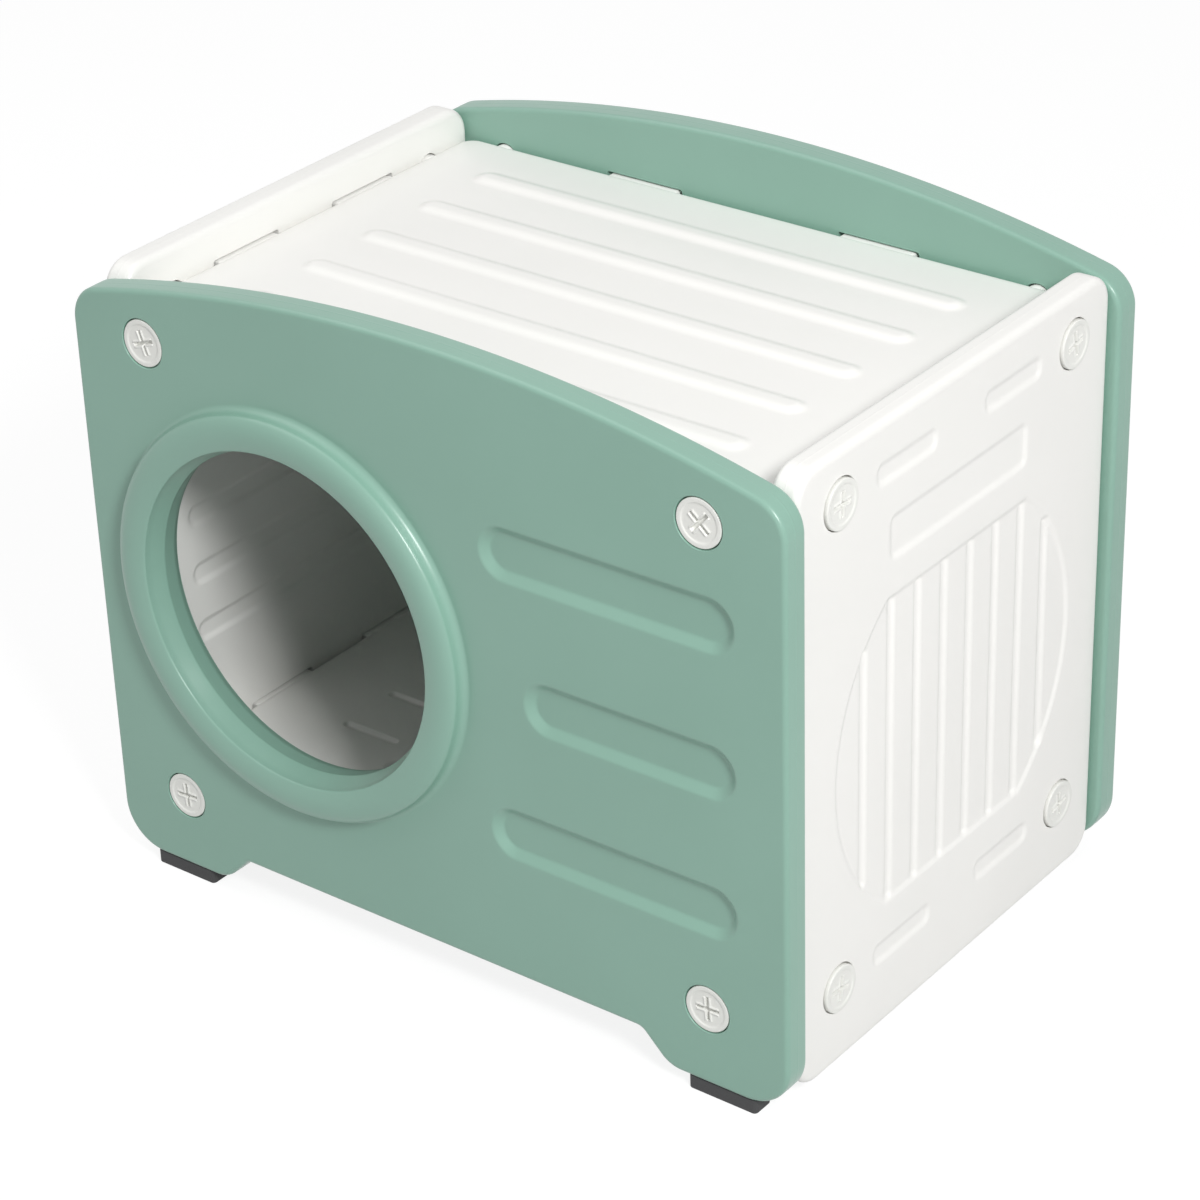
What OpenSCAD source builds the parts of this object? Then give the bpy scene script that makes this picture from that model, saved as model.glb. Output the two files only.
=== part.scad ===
// Outdoor cat house: six hollow moulded panels held together by sixteen plastic
// screws, standing on four rubber feet. Millimetres, +Z up, entrance towards -Y.
// Origin: on the ground, under the middle of the whole.

/* [Cabin] */
// Clear width between the left and right panels
cabin_w = 495; // [470:1:580]
// Clear depth between the front and rear panels
cabin_d = 345; // [320:1:420]
// Height from the middle of the floor to the middle of the roof
deck_pitch = 334; // [318:1:400]

/* [Front and rear panels] */
// Thickness
end_t = 21; // [20:0.5:26]
// How far they stand out beyond the side panels
end_overhang = 7; // [2:0.5:12]
// Height of the crown above the middle of the roof
crown_over = 58.5; // [50:0.5:75]
// Radius of the crowned top edge
crown_r = 1090; // [900:5:1600]
// Radius of the top corners
top_corner_r = 26; // [20:1:36]
// Radius of the bottom corners
low_corner_r = 32; // [20:1:36]
// Distance from the middle of the floor down to the foot bottoms
foot_drop = 55.5; // [50:0.5:75]
// Height of the arch between the feet
arch_h = 21; // [18:0.5:26]
// Half width of the straight top of the arch
arch_half_w = 160; // [130:1:165]
// Slope of the sides of the arch
arch_slope = 45; // [35:1:60]
// Radius at the bottom of the arch's slopes
toe_r = 22; // [16:1:24]
// Radius at the top of the arch's slopes
arch_r = 9; // [5:1:12]
// Rounding of the rims
end_round = 3.5; // [3:0.5:8]

/* [Entrance] */
// Radius at the narrowest line of the bore
entry_r = 112.5; // [95:0.5:118]
// Sideways offset of the bore from the middle
entry_x = -105.5; // [-112:0.5:-92]
// Height of the bore's axis above the middle of the floor
entry_z = 171.5; // [165:0.5:185]
// Height of the crest of the raised ring over the panel
ring_h = 12; // [9:0.5:14]
// Distance from the narrowest line out to the foot of the ring
ring_w = 32.5; // [31:0.5:36]
// Distance from the narrowest line out to the steep outer side of the ring
ring_wall_w = 28; // [24:0.5:30]
// Distance from the narrowest line out to the crest of the ring
ring_crest_w = 16.5; // [12:0.5:18]
// Height of the rounding between the steep side and the crest
ring_shoulder_h = 5.5; // [3:0.5:7]
// Slope of the ring down into the mouth
mouth_slope = 20; // [5:1:30]
// Rounding at the mouth of the bore
mouth_round = 1.8; // [1:0.1:3]
// How far the bore widens from its narrowest line to the mouth
mouth_flare = 4.5; // [1:0.5:6]
// How far the bore widens from its narrowest line to the cabin
inner_flare = 3.5; // [1:0.5:8]
// Distance from the lip of the mouth to the narrowest line
mould_line = 14.5; // [11:0.5:17]

/* [Recesses of the front and rear panels] */
// Height of each recess
band_h = 37; // [26:1:44]
// Depth
band_depth = 4.5; // [3:0.5:6]
// Width of the sloping walls
band_wall = 6; // [4:0.5:8]
// Distance between one recess and the next above it
band_pitch = 98.5; // [88:0.5:106]
// Height of the middle one above the middle of the floor
band_z = 171.5; // [160:0.5:185]
// Distance of the outer ends from the panel's middle
band_out = 239; // [225:1:246]
// Length of the top and bottom ones
band_long = 187; // [150:1:190]
// Length of the middle one
band_short = 157; // [110:1:175]

/* [Side panels] */
// Thickness
side_t = 20.5; // [18.5:0.5:24]
// Height over the middle of the roof
side_over = 34; // [24:0.5:38]
// Drop below the middle of the floor
side_under = 55.5; // [34:0.5:56]
// Radius of the corners
side_corner_r = 20; // [14:1:28]
// Rounding of the rims
side_round = 5; // [3:0.5:7]
// Gap that every side panel leaves at the panels it stands between
joint_gap = 0.4; // [0.2:0.1:0.8]
// Radius of the round field
field_r = 133; // [110:1:140]
// Half height of the field between its straight top and bottom
field_half_h = 108; // [90:0.5:109]
// Height of the field's middle above the middle of the floor
field_z = 141.5; // [138:0.5:148]
// Depth of the field
field_depth = 1.4; // [1:0.1:2]
// Distance between the upright grooves of the field
groove_pitch = 29.1; // [24:0.1:32]
// Width of an upright groove
groove_w = 9; // [7:0.5:16]
// Width of the flat bottom of an upright groove
groove_flat = 3; // [1:0.5:5]
// Depth of an upright groove below the field
groove_depth = 1.5; // [1:0.1:4]
// Distance from the edge of the field to the ends of the grooves
groove_inset = 1; // [1:0.5:8]
// Height of the long recess above the field
long_h = 31; // [18:1:32]
// Length of the long recess
long_l = 153; // [110:1:170]
// Height of the long recess above the middle of the floor
long_z = 287.5; // [282:0.5:292]
// Height of a short recess
short_h = 16; // [12:0.5:18]
// Length of a short recess
short_l = 65; // [50:1:75]
// Radius of the corners of the long and short recesses
slot_corner_r = 7; // [4:0.5:9]
// Depth of the long and short recesses
slot_depth = 1.6; // [1:0.1:3]
// Width of the sloping walls of the recesses and of the grooves on the inner face
slot_wall = 3.5; // [2:0.5:5]
// Height of a groove on the inner face
inner_groove_h = 17; // [12:1:20]
// Length of a groove on the inner face
inner_groove_l = 271; // [200:1:280]
// Distance between the grooves on the inner face
inner_groove_pitch = 43.5; // [36:0.5:46]
// Height of the middle inner groove above the middle of the floor
inner_groove_z = 174; // [160:1:185]
// Depth of a groove on the inner face
inner_groove_depth = 1.8; // [1:0.1:2.4]

/* [Roof and floor panels] */
// Thickness
deck_t = 21; // [18:0.5:24]
// Radius of the corners
deck_corner_r = 14; // [10:1:20]
// Rounding of the rims
deck_round = 7; // [3:0.5:7]
// Number of raised ribs on the outer face
rib_count = 5; // [3:1:5]
// Distance between the ribs
rib_pitch = 58.5; // [50:0.5:62]
// Length of a rib
rib_l = 390; // [300:1:400]
// Width of a rib
rib_w = 20; // [14:1:24]
// Height of a rib
rib_h = 2.6; // [1:0.1:3]
// Length of a short slot on the inner face
drain_l = 47; // [30:1:60]
// Width of a short slot on the inner face
drain_w = 7; // [5:0.5:10]
// Depth of a short slot on the inner face
drain_depth = 2.8; // [1.5:0.1:3.5]
// Width of the sloping walls of a short slot
drain_wall = 1.5; // [0.5:0.1:2]
// Distance between the slots along the width
drain_pitch_x = 103; // [90:1:110]
// Distance between the slots along the depth
drain_pitch_y = 48.5; // [40:0.5:60]
// Radius of the dimples that join the two skins
dimple_r = 9; // [6:0.5:12]
// Depth of the dimples
dimple_depth = 4.5; // [2:0.5:5]
// Distance between the dimples along the width
dimple_pitch_x = 221; // [214:1:226]
// Distance between the dimples along the depth
dimple_pitch_y = 194; // [186:1:202]

/* [Joints between the panels] */
// Thickness of the moulded skin of every panel
skin = 2.5; // [2:0.1:3]
// Distance from the side of the cabin to the screws of the front and rear panels
end_screw_inset = 32.5; // [30:0.5:40]
// Distance from the front and rear of the cabin to the screws of the side panels
side_screw_inset = 44; // [38:0.5:52]
// Radius of the bosses on the edges of the roof and floor
boss_r = 9.5; // [8.5:0.5:11]
// Length of the bosses and tongues
key_d = 8; // [6:0.5:9]
// Space left past the end of a boss or tongue
key_end_gap = 0.5; // [0.2:0.1:1]
// Gap round a boss in its socket
socket_gap = 1; // [0.4:0.1:2]
// Length of a tongue
tongue_l = 57; // [40:1:64]
// Height of a tongue
tongue_h = 18.5; // [10:0.5:19]
// Gap at each end of a tongue
tongue_end_gap = 3; // [1:0.5:4]
// Gap over and under a tongue
tongue_gap = 0.9; // [0.4:0.1:1]
// Distance between the tongues of a front or rear edge
end_tongue_pitch = 189; // [170:1:210]
// Distance between the tongues of a side edge
side_tongue_pitch = 117; // [90:1:120]

/* [Screws] */
// Radius of the head
head_r = 16; // [14:0.5:18]
// Thickness of the head
head_h = 5.5; // [5:0.1:6]
// Bevel of the head's edges
head_edge = 0.6; // [0.2:0.1:1]
// How far the head lies below the face of a front or rear panel
end_head_sink = 0.4; // [0.2:0.1:1.2]
// How far the head stands out of the face of a side panel
side_head_out = 2; // [0:0.1:2.5]
// Gap round the head
head_gap = 0.8; // [0.5:0.1:1.5]
// Radius over the thread
thread_r = 6.5; // [5.5:0.1:6.8]
// Depth of the thread
thread_depth = 1.1; // [0.6:0.1:1.4]
// Pitch of the thread
thread_pitch = 4; // [3:0.5:5]
// Length of the shank
shank_l = 30; // [26:1:36]
// Length of the plain neck under the head
neck_l = 6; // [4:0.5:8]
// Gap round the shank
shank_gap = 0.3; // [0.2:0.05:0.5]
// Width of the flat rim of the head
head_rim = 3; // [2.5:0.1:4.5]
// Depth of the dished face inside the rim
dish_depth = 0.6; // [0.4:0.1:1.2]
// Half length of the cross slot
cross_half_l = 8.5; // [7:0.5:9.5]
// Width of the cross slot
cross_w = 2.4; // [2:0.1:3.5]
// Depth of the cross slot below the dished face
cross_depth = 2.6; // [1.5:0.1:3]
// Width of the ribs beside the cross slot
cross_rib = 1.5; // [1:0.1:2]

/* [Feet] */
// Length of a rubber foot
pad_l = 51; // [45:1:62]
// Width of a rubber foot
pad_w = 17; // [14:0.5:20]
// Height of a rubber foot
pad_h = 10.5; // [6:0.5:14]
// Distance from the panel's side edge to the foot
pad_inset = 25.5; // [20:0.5:30]
// Radius of the foot's corners
pad_corner_r = 3; // [1:0.5:5]
// Radius of the stems that hold a foot in the panel
stem_r = 3.5; // [2.5:0.1:4]
// Length of the stems
stem_l = 10; // [6:0.5:12]
// Gap round a stem
stem_gap = 0.15; // [0.1:0.05:0.3]
// Space left past the end of a stem
stem_end_gap = 0.5; // [0.2:0.1:1]
// Distance between the two stems of a foot
stem_pitch = 24; // [18:1:28]

/* [Hidden] */

green = "#87AF9C";
white = "#F2F2EF";
screw_white = "#DEDFD8";
black = "#3A3A3A";

// Extra length of a cut past the face that it opens
over = 1;
// How far the strips along the rims reach in past their rounding
rim_lap = 5;
// How far a panel's hollow starts in from the rounding of its rims
hollow_in = 1;
// A small step that keeps faces from lying exactly on each other
hair = 0.1;
$fn = 64;

// Half width of the front and rear panels
half_w = cabin_w / 2 + side_t + end_overhang;
// Height of the middle of the floor above the ground
base_z = foot_drop + pad_h;
// The entrance ring stands out in front, so the cabin's middle lies behind the origin
mid_y = ring_h / 2;
// Distance from the cabin's middle to the inner faces of the front and rear panels
half_d = cabin_d / 2;

// Outline of the front and rear panels, from the middle of the floor
crown_z = deck_pitch + crown_over - crown_r;
crown_angle = asin((half_w - top_corner_r) / (crown_r - top_corner_r));
top_corner_z = crown_z + (crown_r - top_corner_r) * cos(crown_angle);
low_corner_z = low_corner_r - foot_drop;
arch_z = arch_h - foot_drop;
slope_rise = arch_h - (toe_r + arch_r) * (1 - cos(arch_slope));
toe_x = arch_half_w + (toe_r + arch_r) * sin(arch_slope) + slope_rise / tan(arch_slope);
slope_top = [arch_half_w + arch_r * sin(arch_slope), arch_z - arch_r * (1 - cos(arch_slope))];
slope_toe = [toe_x - toe_r * sin(arch_slope), toe_r * (1 - cos(arch_slope)) - foot_drop];
// The straight slopes lie a hair behind the arcs at their ends and reach into them
slope_way = [cos(arch_slope), -sin(arch_slope)];
slope_in = hair * [sin(arch_slope), cos(arch_slope)];

// Side panels, from the middle of the floor
side_w = cabin_d - 2 * joint_gap;
side_h = deck_pitch + side_over + side_under;
side_mid_z = (deck_pitch + side_over - side_under) / 2;

// Entrance, from the inner face of the front panel
mouth_r = entry_r + mouth_flare;
lip_r = mouth_r + mouth_round * (1 - sin(mouth_slope));
crest_r = entry_r + ring_crest_w;
// The ring falls along a parabola from its crest to the lip
mouth_drop = tan(mouth_slope) * (crest_r - lip_r) / 2;
lip_z = end_t + ring_h - mouth_drop;

// Roof and floor panels
deck_w = cabin_w - 2 * joint_gap;
deck_d = cabin_d - 2 * joint_gap;
deck_half = deck_t / 2;

// Sockets, slots and pockets in the front, rear and side panels
end_screw_pitch = cabin_w - 2 * end_screw_inset;
side_screw_pitch = cabin_d - 2 * side_screw_inset;
pocket_r = head_r + head_gap;
end_pocket_d = head_h + end_head_sink;
side_pocket_d = head_h - side_head_out;
socket_r = boss_r + socket_gap;
socket_d = key_d + key_end_gap;
hole_r = thread_r + shank_gap;
solid_r = pocket_r + skin;
tongue_slot_l = tongue_l + 2 * tongue_end_gap;
tongue_slot_h = tongue_h + 2 * tongue_gap;

// Where the feet stand
pad_x = half_w - pad_inset - pad_l / 2;

// Point on a circle, points on an arc, and the same points without the first
function spot(c, r, a) = c + r * [cos(a), sin(a)];
function arc(c, r, a, b, n) = [for (i = [0 : n]) spot(c, r, a + (b - a) * i / n)];
function arc_on(c, r, a, b, n) = [for (i = [1 : n]) spot(c, r, a + (b - a) * i / n)];
// Mirror image of a half outline, without the point that both halves share
function flipped(points) = [for (i = [len(points) - 2 : -1 : 0]) [-points[i][0], points[i][1]]];

// Right half of the outline of the front and rear panels, drawn in by e
function end_half(e) = concat(
    arc([arch_half_w, arch_z - arch_r], arch_r + e, 90, 90 - arch_slope, 4),
    arc([toe_x, toe_r - foot_drop], toe_r - e, -90 - arch_slope, -90, 5),
    arc([half_w - low_corner_r, low_corner_z], low_corner_r - e, -90, 0, 9),
    arc([half_w - top_corner_r, top_corner_z], top_corner_r - e, 0, 90 - crown_angle, 8),
    arc_on([0, crown_z], crown_r - e, 90 - crown_angle, 90, 14)
);
function end_outline(e) = concat(end_half(e), flipped(end_half(e)));
// Right half of the outline above the straight part of the sides, and the whole of it
function cap_half(e) = concat(
    arc([half_w - top_corner_r, top_corner_z], top_corner_r - e, 0, 90 - crown_angle, 8),
    arc_on([0, crown_z], crown_r - e, 90 - crown_angle, 90, 20)
);
function cap_outline(e) = concat(cap_half(e), flipped(cap_half(e)));

// Rounded rectangle about the origin, drawn in by e
function corner_points(w, h, r, e, a) = arc(
    [(w / 2 - r) * (a == 0 || a == 270 ? 1 : -1), (h / 2 - r) * (a < 180 ? 1 : -1)],
    r - e, a, a + 90, 8
);
function slab_outline(w, h, r, e) = [for (a = [0 : 90 : 270]) each corner_points(w, h, r, e, a)];

// Section through a rounded rim: the rim is at x = 0, the thickness runs along y
module rim_section(t, r, depth) {
    translate([r, 0]) square([depth - r, t]);
    translate([0, r]) square([r, t - 2 * r]);
    for (y = [r, t - r]) translate([r, y]) circle(r);
}

// Straight rim from p to q with the panel on its left
module rim_line(p, q, t, r, depth) {
    step = q - p;
    translate([p[0], p[1], 0])
        rotate([0, 0, atan2(step[1], step[0]) + 90])
            rotate([90, 0, 0])
                linear_extrude(norm(step)) rim_section(t, r, depth);
}

// Rim on the outside of a corner
module rim_outer(c, radius, a, b, t, r, depth) {
    translate([c[0], c[1], 0])
        rotate([0, 0, a])
            mirror([0, b < a ? 1 : 0, 0])
                rotate_extrude(angle = abs(b - a))
                    translate([radius, 0]) mirror([1, 0]) rim_section(t, r, depth);
}

// Rim on the inside of a corner
module rim_inner(c, radius, a, b, t, r, depth) {
    translate([c[0], c[1], 0])
        rotate([0, 0, a])
            mirror([0, b < a ? 1 : 0, 0])
                rotate_extrude(angle = abs(b - a))
                    translate([radius, 0]) rim_section(t, r, depth);
}

// Crowned top of the front and rear panels, above the straight part of their sides
// and a hair inside the rims there
module crown_cap() {
    steps = 5;
    hull() for (i = [0 : steps]) {
        inset = hair + end_round * (1 - sin(90 * i / steps));
        drop = end_round * (1 - cos(90 * i / steps));
        translate([0, 0, drop]) linear_extrude(end_t - 2 * drop) polygon(cap_outline(inset));
    }
}

// Front or rear panel without its details: inner face at z = 0, outer face at z = end_t
module end_slab() {
    depth = end_round + rim_lap;
    linear_extrude(end_t) polygon(end_outline(end_round + rim_lap / 2));
    crown_cap();
    rim_line([-arch_half_w, arch_z], [arch_half_w, arch_z], end_t, end_round, depth);
    for (m = [0, 1]) mirror([m, 0, 0]) {
        rim_line([half_w, low_corner_z], [half_w, top_corner_z], end_t, end_round, depth);
        rim_outer([half_w - low_corner_r, low_corner_z], low_corner_r, -90, 0, end_t, end_round, depth);
        rim_line([toe_x, -foot_drop], [half_w - low_corner_r, -foot_drop], end_t, end_round, depth);
        rim_outer([toe_x, toe_r - foot_drop], toe_r, -90, -90 - arch_slope, end_t, end_round, depth);
        rim_line(slope_top - over * slope_way + slope_in, slope_toe + over * slope_way + slope_in,
            end_t, end_round, depth);
        rim_inner([arch_half_w, arch_z - arch_r], arch_r, 90, 90 - arch_slope, end_t, end_round, depth);
    }
}

// Flat slab with rounded corners and rims, lower face at z = 0
module slab(w, h, t, corner, r) {
    depth = min(r + rim_lap, corner - hair);
    x = w / 2 - corner;
    y = h / 2 - corner;
    linear_extrude(t) polygon(slab_outline(w, h, corner, (r + depth) / 2));
    rim_line([w / 2, -y], [w / 2, y], t, r, depth);
    rim_line([-w / 2, y], [-w / 2, -y], t, r, depth);
    rim_line([-x, -h / 2], [x, -h / 2], t, r, depth);
    rim_line([x, h / 2], [-x, h / 2], t, r, depth);
    rim_outer([x, y], corner, 0, 90, t, r, depth);
    rim_outer([-x, y], corner, 90, 180, t, r, depth);
    rim_outer([-x, -y], corner, 180, 270, t, r, depth);
    rim_outer([x, -y], corner, 270, 360, t, r, depth);
}

// Cut for a recess with round ends and sloping walls, down from z = 0, long along x
module recess(l, w, depth, wall) {
    lift = over * wall / depth;
    for (s = [-1, 1]) translate([s * (l - w) / 2, 0, -depth])
        cylinder(r1 = w / 2 - wall, r2 = w / 2 + lift, h = depth + over);
    trough(l - w, w, depth, wall);
}

// Straight middle of such a recess
module trough(l, w, depth, wall) {
    lift = over * wall / depth;
    translate([-l / 2, 0, 0]) rotate([90, 0, 90]) linear_extrude(l) polygon([
        [wall - w / 2, -depth], [w / 2 - wall, -depth],
        [w / 2 + lift, over], [-w / 2 - lift, over]
    ]);
}

// Cut for a recess with rounded corners and sloping walls, down from z = 0
module tray(l, w, depth, wall, corner) {
    lift = over * wall / depth;
    for (x = [corner - l / 2, l / 2 - corner], y = [corner - w / 2, w / 2 - corner])
        translate([x, y, -depth]) cylinder(r1 = corner - wall, r2 = corner + lift, h = depth + over);
    trough(l - 2 * corner, w, depth, wall);
    rotate([0, 0, 90]) trough(w - 2 * corner, l, depth, wall);
}

// Raised rib with round ends and sloping walls, up from z = -over, long along x
module rib(l, w, h) {
    for (s = [-1, 1]) translate([s * (l - w) / 2, 0, 0]) {
        translate([0, 0, -over]) cylinder(r = w / 2, h = over);
        cylinder(r1 = w / 2, r2 = w / 2 - h, h = h);
    }
    translate([(w - l) / 2, 0, 0]) rotate([90, 0, 90]) linear_extrude(l - w) polygon([
        [-w / 2, -over], [w / 2, -over], [w / 2, 0], [w / 2 - h, h], [h - w / 2, h], [-w / 2, 0]
    ]);
}

// Places of the joints on a wall: its two screws side by side, on the floor's and roof's middles
module at_screws(pitch) {
    for (x = [-pitch / 2, pitch / 2], y = [0, deck_pitch]) translate([x, y, 0]) children();
}

// Everything cut into a wall for its joints, in a wall of thickness t
module joint_cuts(t, pocket_d, screw_pitch, tongue_pitch) {
    at_screws(screw_pitch) {
        translate([0, 0, t - pocket_d]) cylinder(r = pocket_r, h = pocket_d + over);
        translate([0, 0, -over]) cylinder(r = hole_r, h = t + over);
        translate([0, 0, -over]) cylinder(r = socket_r, h = socket_d + over);
    }
    at_screws(tongue_pitch)
        translate([-tongue_slot_l / 2, -tongue_slot_h / 2, -over])
            cube([tongue_slot_l, tongue_slot_h, socket_d + over]);
}

// What stays solid in a wall round its joints
module joint_keep(t, screw_pitch, tongue_pitch) {
    at_screws(screw_pitch) cylinder(r = solid_r, h = t);
    at_screws(tongue_pitch)
        translate([-tongue_slot_l / 2 - skin, -tongue_slot_h / 2 - skin, 0])
            cube([tongue_slot_l + 2 * skin, tongue_slot_h + 2 * skin, socket_d + skin]);
}

// The recesses on one half of a front or rear panel, grown by g
module bands(g) {
    for (row = [-1, 0, 1]) {
        l = row == 0 ? band_short : band_long;
        translate([band_out - l / 2, band_z + row * band_pitch, end_t])
            recess(l + 2 * g, band_h + 2 * g, band_depth + g, band_wall);
    }
}

// Holes for the stems of the feet
module foot_holes(g) {
    for (s = [-1, 1], x = [-stem_pitch / 2, stem_pitch / 2])
        translate([s * pad_x + x, -foot_drop - over, end_t / 2])
            rotate([-90, 0, 0]) cylinder(r = stem_r + stem_gap + g, h = stem_l + stem_end_gap + g + over);
}

// Hollow of a front or rear panel before its details are kept clear
module end_hollow() {
    translate([0, 0, skin]) linear_extrude(end_t - 2 * skin) polygon(end_outline(end_round + hollow_in));
}

// Raised ring round the entrance: a hollow rounding at its foot, a steep side,
// a full rounding up to the crest and a gentle fall to the lip of the mouth
module ring() {
    foot = entry_r + ring_w;
    side = entry_r + ring_wall_w;
    low = ring_h - ring_shoulder_h;
    steps = 8;
    rotate_extrude($fn = 180) polygon(concat(
        [[entry_r - over, end_t - skin], [foot, end_t - skin]],
        [for (i = [0 : steps]) [
            foot - (foot - side) * sin(90 * i / steps),
            end_t + low * (1 - cos(90 * i / steps))
        ]],
        [for (i = [1 : steps]) [
            crest_r + (side - crest_r) * cos(90 * i / steps),
            end_t + low + ring_shoulder_h * sin(90 * i / steps)
        ]],
        [for (i = [1 : steps]) [
            crest_r - (crest_r - lip_r) * i / steps,
            end_t + ring_h - mouth_drop * (i / steps) * (i / steps)
        ]],
        [[entry_r - over, lip_z]]
    ));
}

// Bore of the entrance
module bore() {
    narrow = lip_z - mould_line;
    mouth_c = [mouth_r + mouth_round, lip_z - mouth_round * cos(mouth_slope)];
    rotate_extrude($fn = 180) polygon(concat(
        [[0, -over], [entry_r + inner_flare * (1 + over / narrow), -over], [entry_r, narrow]],
        arc(mouth_c, mouth_round, 180, 90 + mouth_slope, 6),
        [[lip_r, lip_z + over], [0, lip_z + over]]
    ));
}

// A front or rear panel standing with its inner face at z = 0
module end_panel(has_entry) {
    difference() {
        union() {
            end_slab();
            if (has_entry) translate([entry_x, entry_z, 0]) ring();
        }
        joint_cuts(end_t, end_pocket_d, end_screw_pitch, end_tongue_pitch);
        foot_holes(0);
        bands(0);
        if (has_entry) translate([entry_x, entry_z, 0]) bore();
        if (!has_entry) mirror([1, 0, 0]) bands(0);
        difference() {
            end_hollow();
            joint_keep(end_t, end_screw_pitch, end_tongue_pitch);
            foot_holes(skin);
            bands(skin);
            if (has_entry) translate([entry_x, entry_z, 0])
                cylinder(r = entry_r + inner_flare + skin, h = end_t, $fn = 180);
            if (!has_entry) mirror([1, 0, 0]) bands(skin);
        }
    }
}

// The round field of a side panel with its upright grooves, grown by g
module field(g) {
    translate([0, field_z, 0]) {
        intersection() {
            translate([0, 0, side_t - field_depth - g])
                cylinder(r = field_r + g, h = field_depth + g + over, $fn = 128);
            translate([0, 0, side_t]) cube([3 * field_r, 2 * (field_half_h + g), 4 * side_t], center = true);
        }
        for (i = [0 : 3], s = [-1, 1]) {
            x = s * groove_pitch * (i + 0.5);
            reach = min(field_half_h, sqrt(field_r * field_r - x * x)) - groove_inset;
            translate([x, 0, side_t - field_depth]) rotate([0, 0, 90])
                recess(2 * (reach + g), groove_w + 2 * g, groove_depth + g, (groove_w - groove_flat) / 2);
        }
    }
}

// The long and short recesses on the outer face of a side panel, grown by g
module side_slots(g) {
    long_r = min(slot_corner_r, long_h / 2 - hair) + g;
    short_r = min(slot_corner_r, short_h / 2 - hair) + g;
    translate([0, long_z, side_t]) tray(long_l + 2 * g, long_h + 2 * g, slot_depth + g, slot_wall, long_r);
    at_screws(side_tongue_pitch) translate([0, 0, side_t])
        tray(short_l + 2 * g, short_h + 2 * g, slot_depth + g, slot_wall, short_r);
}

// The grooves on the inner face of a side panel, grown by g
module inner_grooves(g) {
    for (row = [-2 : 2]) translate([0, inner_groove_z + row * inner_groove_pitch, 0]) mirror([0, 0, 1])
        recess(inner_groove_l + 2 * g, inner_groove_h + 2 * g, inner_groove_depth + g, slot_wall);
}

// A side panel standing with its inner face at z = 0
module side_panel() {
    difference() {
        translate([0, side_mid_z, 0]) slab(side_w, side_h, side_t, side_corner_r, side_round);
        joint_cuts(side_t, side_pocket_d, side_screw_pitch, side_tongue_pitch);
        field(0);
        side_slots(0);
        inner_grooves(0);
        difference() {
            translate([0, side_mid_z, skin]) linear_extrude(side_t - 2 * skin)
                polygon(slab_outline(side_w, side_h, side_corner_r, side_round + hollow_in));
            joint_keep(side_t, side_screw_pitch, side_tongue_pitch);
            field(skin);
            side_slots(skin);
            inner_grooves(skin);
        }
    }
}

// The two edges of a deck that face along y, each with two bosses and two tongues
module deck_keys(half, screw_pitch, tongue_pitch) {
    root = 2 * boss_r;
    for (turn = [0, 180]) rotate([0, 0, turn]) {
        for (x = [-screw_pitch / 2, screw_pitch / 2])
            translate([x, half - root, 0]) rotate([-90, 0, 0])
                cylinder(r = boss_r, h = root + joint_gap + key_d);
        for (x = [-tongue_pitch / 2, tongue_pitch / 2])
            translate([x - tongue_l / 2, half - root, -tongue_h / 2])
                cube([tongue_l, root + joint_gap + key_d, tongue_h]);
    }
}

// Screw holes of those two edges, grown by g
module deck_holes(half, screw_pitch, g) {
    for (turn = [0, 180], x = [-screw_pitch / 2, screw_pitch / 2])
        rotate([0, 0, turn]) translate([x, half + key_d + over, 0]) rotate([90, 0, 0])
            cylinder(r = hole_r + g, h = shank_l + over + g);
}

// The short slots and dimples on the inner face of a deck, grown by g
module drains(g) {
    for (i = [-1.5 : 1 : 1.5], j = [-1.5 : 1 : 1.5])
        translate([i * drain_pitch_x, j * drain_pitch_y, deck_half])
            recess(drain_l + 2 * g, drain_w + 2 * g, drain_depth + g, drain_wall);
    for (x = [-dimple_pitch_x / 2, dimple_pitch_x / 2], y = [-dimple_pitch_y / 2, dimple_pitch_y / 2])
        translate([x, y, deck_half - dimple_depth - g])
            cylinder(r1 = dimple_r - dimple_depth + g, r2 = dimple_r + over + g, h = dimple_depth + g + over);
}

// A roof or floor panel about its middle, inner face up
module deck() {
    difference() {
        union() {
            translate([0, 0, -deck_half]) slab(deck_w, deck_d, deck_t, deck_corner_r, deck_round);
            deck_keys(deck_d / 2, end_screw_pitch, end_tongue_pitch);
            rotate([0, 0, 90]) deck_keys(deck_w / 2, side_screw_pitch, side_tongue_pitch);
            for (i = [0 : rib_count - 1])
                translate([0, (i - (rib_count - 1) / 2) * rib_pitch, -deck_half])
                    mirror([0, 0, 1]) rib(rib_l, rib_w, rib_h);
        }
        deck_holes(deck_d / 2, end_screw_pitch, 0);
        rotate([0, 0, 90]) deck_holes(deck_w / 2, side_screw_pitch, 0);
        drains(0);
        difference() {
            translate([0, 0, skin - deck_half]) linear_extrude(deck_t - 2 * skin)
                polygon(slab_outline(deck_w, deck_d, deck_corner_r, deck_round + hollow_in));
            deck_holes(deck_d / 2, end_screw_pitch, skin);
            rotate([0, 0, 90]) deck_holes(deck_w / 2, side_screw_pitch, skin);
            drains(skin);
        }
    }
}

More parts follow.
